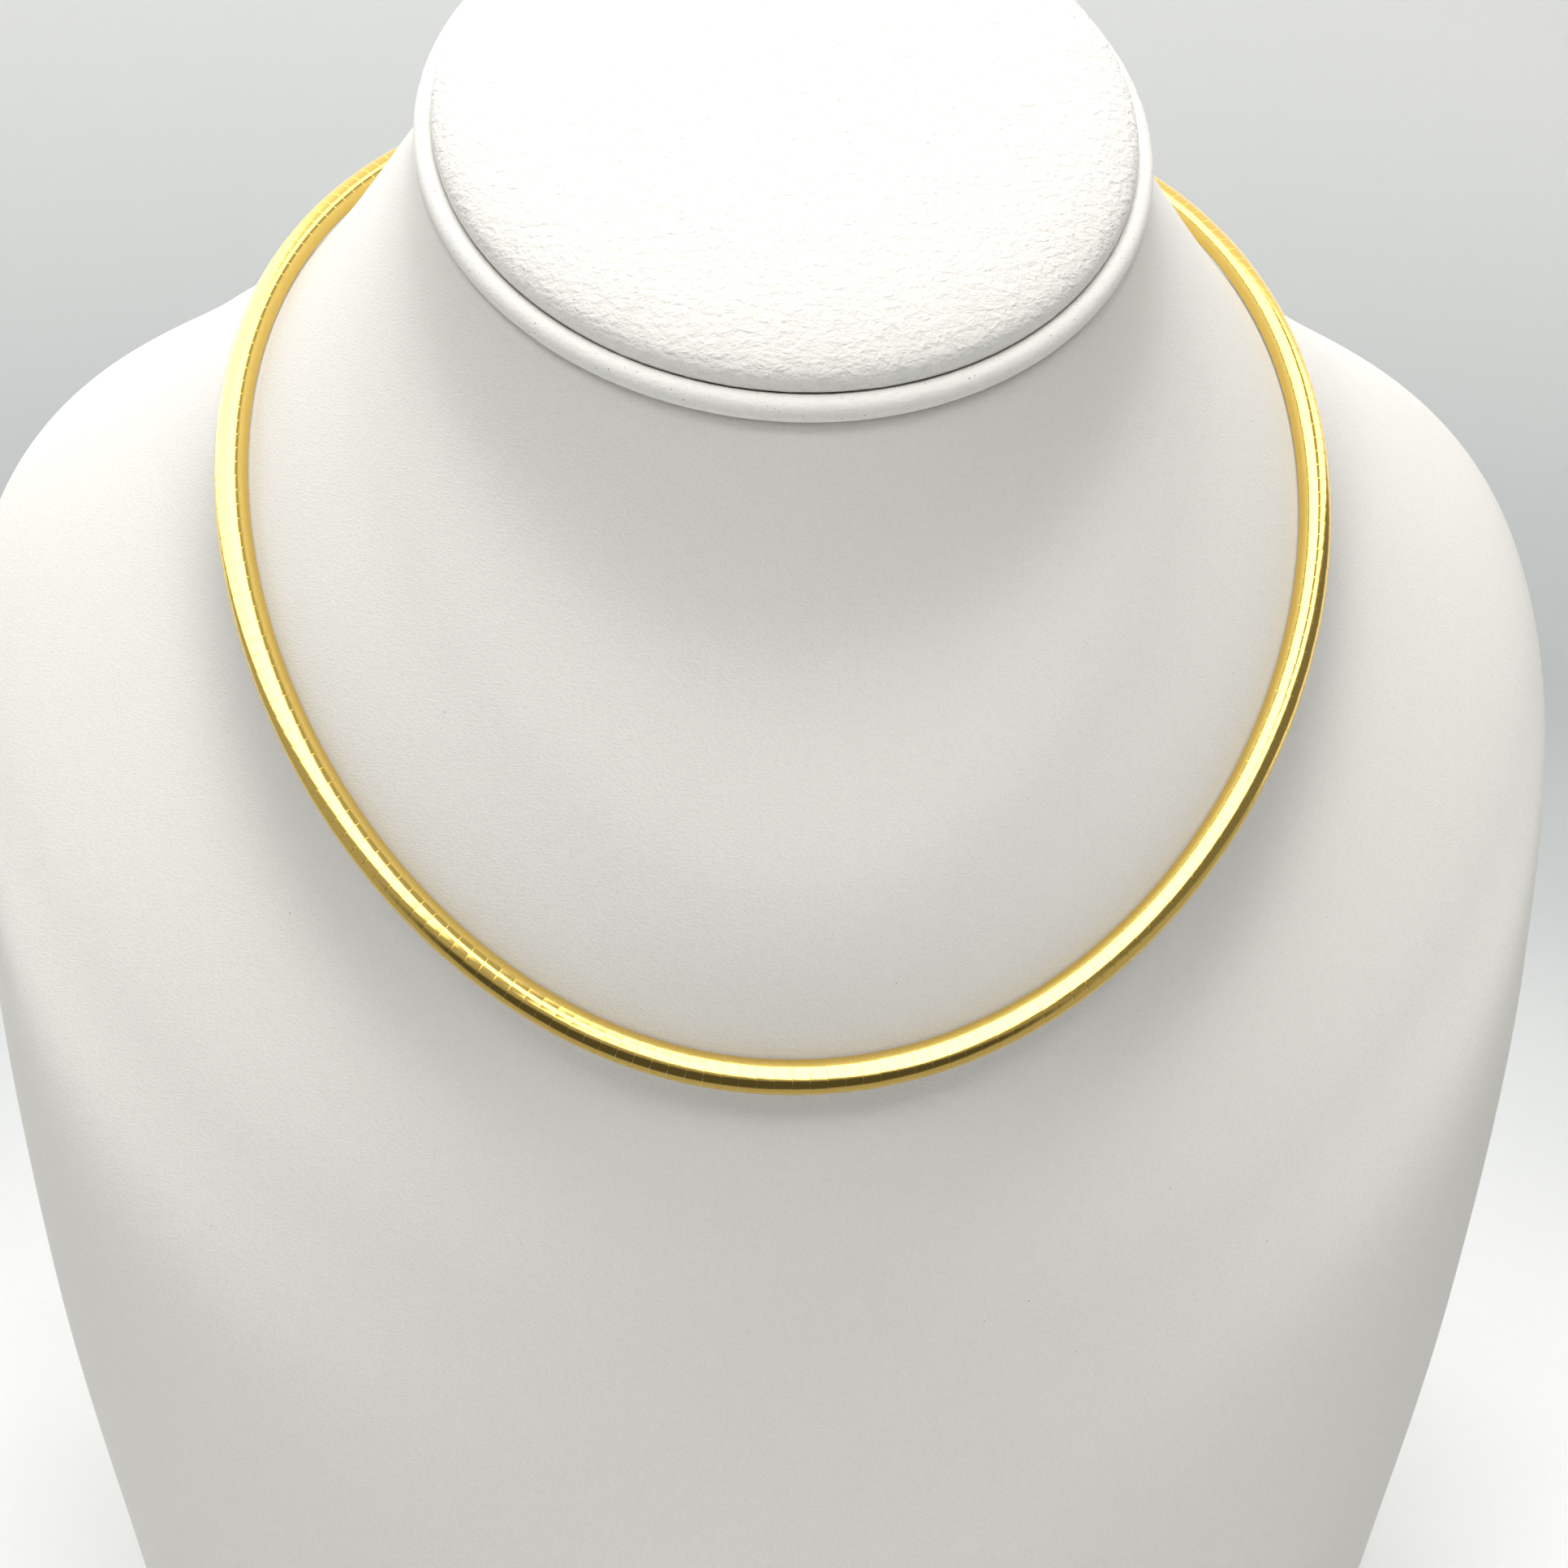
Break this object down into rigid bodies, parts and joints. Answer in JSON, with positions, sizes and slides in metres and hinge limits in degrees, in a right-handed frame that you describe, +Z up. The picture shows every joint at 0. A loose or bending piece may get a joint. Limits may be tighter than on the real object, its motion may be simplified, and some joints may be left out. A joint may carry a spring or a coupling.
{
  "type": "omega necklace on neck bust",
  "caption": "Polished yellow gold omega necklace of domed plates on a flat core, lying round the neck of a plain white leatherette display bust with a padded, piped neck top.",
  "frame": {"origin": "on the surface that the bust stands on, under the middle of the base board and of the loop's widest line", "axes": "+Z up, -Y towards the front where the necklace hangs lowest, +X to the viewer's right; the object is symmetric about X = 0"},
  "size_m": [0.1996, 0.1262, 0.2436],
  "materials": {
    "gold_plates": "polished",
    "gold_mesh": "woven",
    "leatherette": "fine matte grain",
    "piping": "fine matte grain",
    "pad_cover": "fine matte grain, padded",
    "board": "matte"
  },
  "bodies": {
    "root": {"omega_plates": "gold_plates", "mesh_core": "gold_mesh", "end_cap_left": "gold_plates", "end_cap_right": "gold_plates", "clasp": "gold_plates", "bust_body": "leatherette", "neck_piping": "piping", "neck_pad": "pad_cover", "base_board": "board"}
  },
  "joints": []
}
